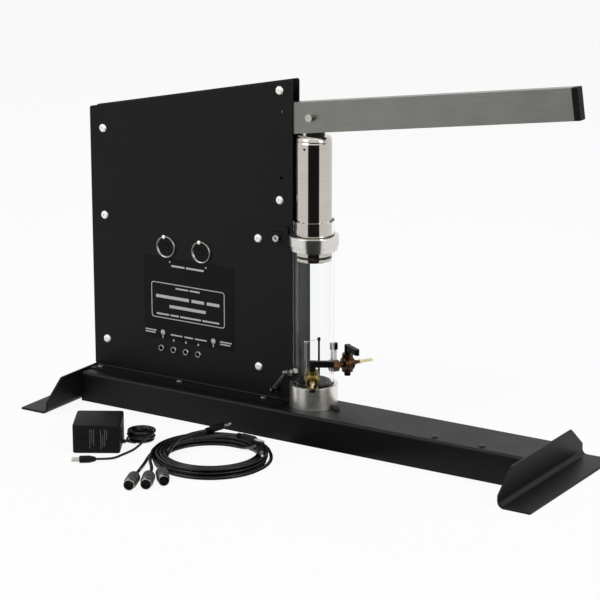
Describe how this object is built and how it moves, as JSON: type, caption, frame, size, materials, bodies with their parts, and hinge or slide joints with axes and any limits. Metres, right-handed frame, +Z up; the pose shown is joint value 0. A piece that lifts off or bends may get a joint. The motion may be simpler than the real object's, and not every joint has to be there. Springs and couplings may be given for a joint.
{
  "type": "adiabatic gas law apparatus",
  "caption": "Bench apparatus with a lever that drives a polished piston down a clear cylinder in front of a black sensor panel, with stopcocks, signal cables and a wall adapter.",
  "frame": {"origin": "centre of the footprint of the base and its feet, on the table", "axes": "+X along the base towards the end of the lever, -Y the front with the sockets, +Z up"},
  "size_m": [0.732, 0.4004, 0.4737],
  "materials": {
    "black_enamel": "satin black powder coat",
    "satin_aluminium": "mill finish drawn tube",
    "polished_metal": "polished and lapped",
    "plated_steel": "bright nickel plate",
    "clear_acrylic": "clear cast tube",
    "brass": "turned, slightly tarnished",
    "bronze": "sintered bearing bronze",
    "black_plastic": "moulded, fine texture",
    "grey_plastic": "moulded, satin",
    "white_plastic": "moulded, satin",
    "black_rubber": "smooth jacket",
    "label_film": "printed overlay, satin",
    "circuit_laminate": "solder mask over laminate"
  },
  "bodies": {
    "frame": {"base_channel": "black_enamel", "left_foot": "black_enamel", "right_foot": "black_enamel", "base_screws": "plated_steel", "front_plate": "black_enamel", "rear_plate": "black_enamel", "plate_spacers": "satin_aluminium", "panel_screws": "plated_steel", "panel_nuts": "plated_steel", "pivot_bolt": "plated_steel", "cylinder_tube": "clear_acrylic", "tube_collar": "polished_metal", "collar_bracket": "black_enamel", "base_cup": "polished_metal", "cylinder_plug": "black_plastic", "sensor_posts": "plated_steel", "front_stopcock_body": "brass", "rear_stopcock_body": "brass", "pressure_fitting": "plated_steel", "pressure_hose": "grey_plastic", "pressure_sensor": "grey_plastic", "bleed_riser": "white_plastic", "bleed_cap": "black_plastic", "rear_cover": "black_enamel", "circuit_board": "circuit_laminate", "board_standoffs": "plated_steel", "volume_sensor_track": "black_plastic", "socket_rings": "plated_steel", "socket_cores": "black_plastic", "jack_bushings": "plated_steel", "jack_inserts": "black_plastic", "label_plate": "label_film", "power_socket": "black_plastic", "adapter_body": "black_plastic", "adapter_blades": "plated_steel", "adapter_hank": "black_rubber", "adapter_leads": "black_rubber", "power_plug": "black_plastic", "cable_1_coil": "black_rubber", "cable_1_leads": "black_rubber", "cable_2_coil": "black_rubber", "cable_2_leads": "black_rubber", "cable_3_coil": "black_rubber", "cable_3_leads": "black_rubber", "din_plugs": "grey_plastic", "phone_plugs": "black_plastic"},
    "lever": {"lever_bar": "satin_aluminium", "lever_end_cap": "black_plastic", "lever_pin": "plated_steel", "pivot_bushing": "bronze"},
    "piston_slide": {"piston": "polished_metal", "piston_cap": "polished_metal", "piston_seal_rings": "black_rubber", "piston_set_screw": "plated_steel", "crosshead_block": "black_plastic", "volume_sensor_slider": "satin_aluminium"},
    "front_cock": {"front_stopcock_plug": "brass", "front_stopcock_handle": "black_plastic"},
    "rear_cock": {"rear_stopcock_plug": "brass", "rear_stopcock_handle": "black_plastic"}
  },
  "joints": [
    {"name": "lever_hinge", "type": "hinge", "parent": "frame", "child": "lever", "pos_m": [-0.3055, 0.00635, 0.357], "axis": [0, 1, 0], "range_deg": [-1.8, 15.8]},
    {"name": "piston_travel", "type": "slide", "parent": "frame", "child": "piston_slide", "axis": [0, 0, -1], "range_m": [-0.0099, 0.0863]},
    {"name": "front_cock_turn", "type": "hinge", "parent": "frame", "child": "front_cock", "pos_m": [0.029, -0.03522, 0.085], "axis": [0, 0, -1], "range_deg": [0, 90]},
    {"name": "rear_cock_turn", "type": "hinge", "parent": "frame", "child": "rear_cock", "pos_m": [0.029, 0.04792, 0.085], "axis": [0, 0, 1], "range_deg": [0, 90]}
  ],
  "couplings": [
    {"joint": "piston_travel", "follows": "lever_hinge", "m_per_rad": 0.31261}
  ]
}
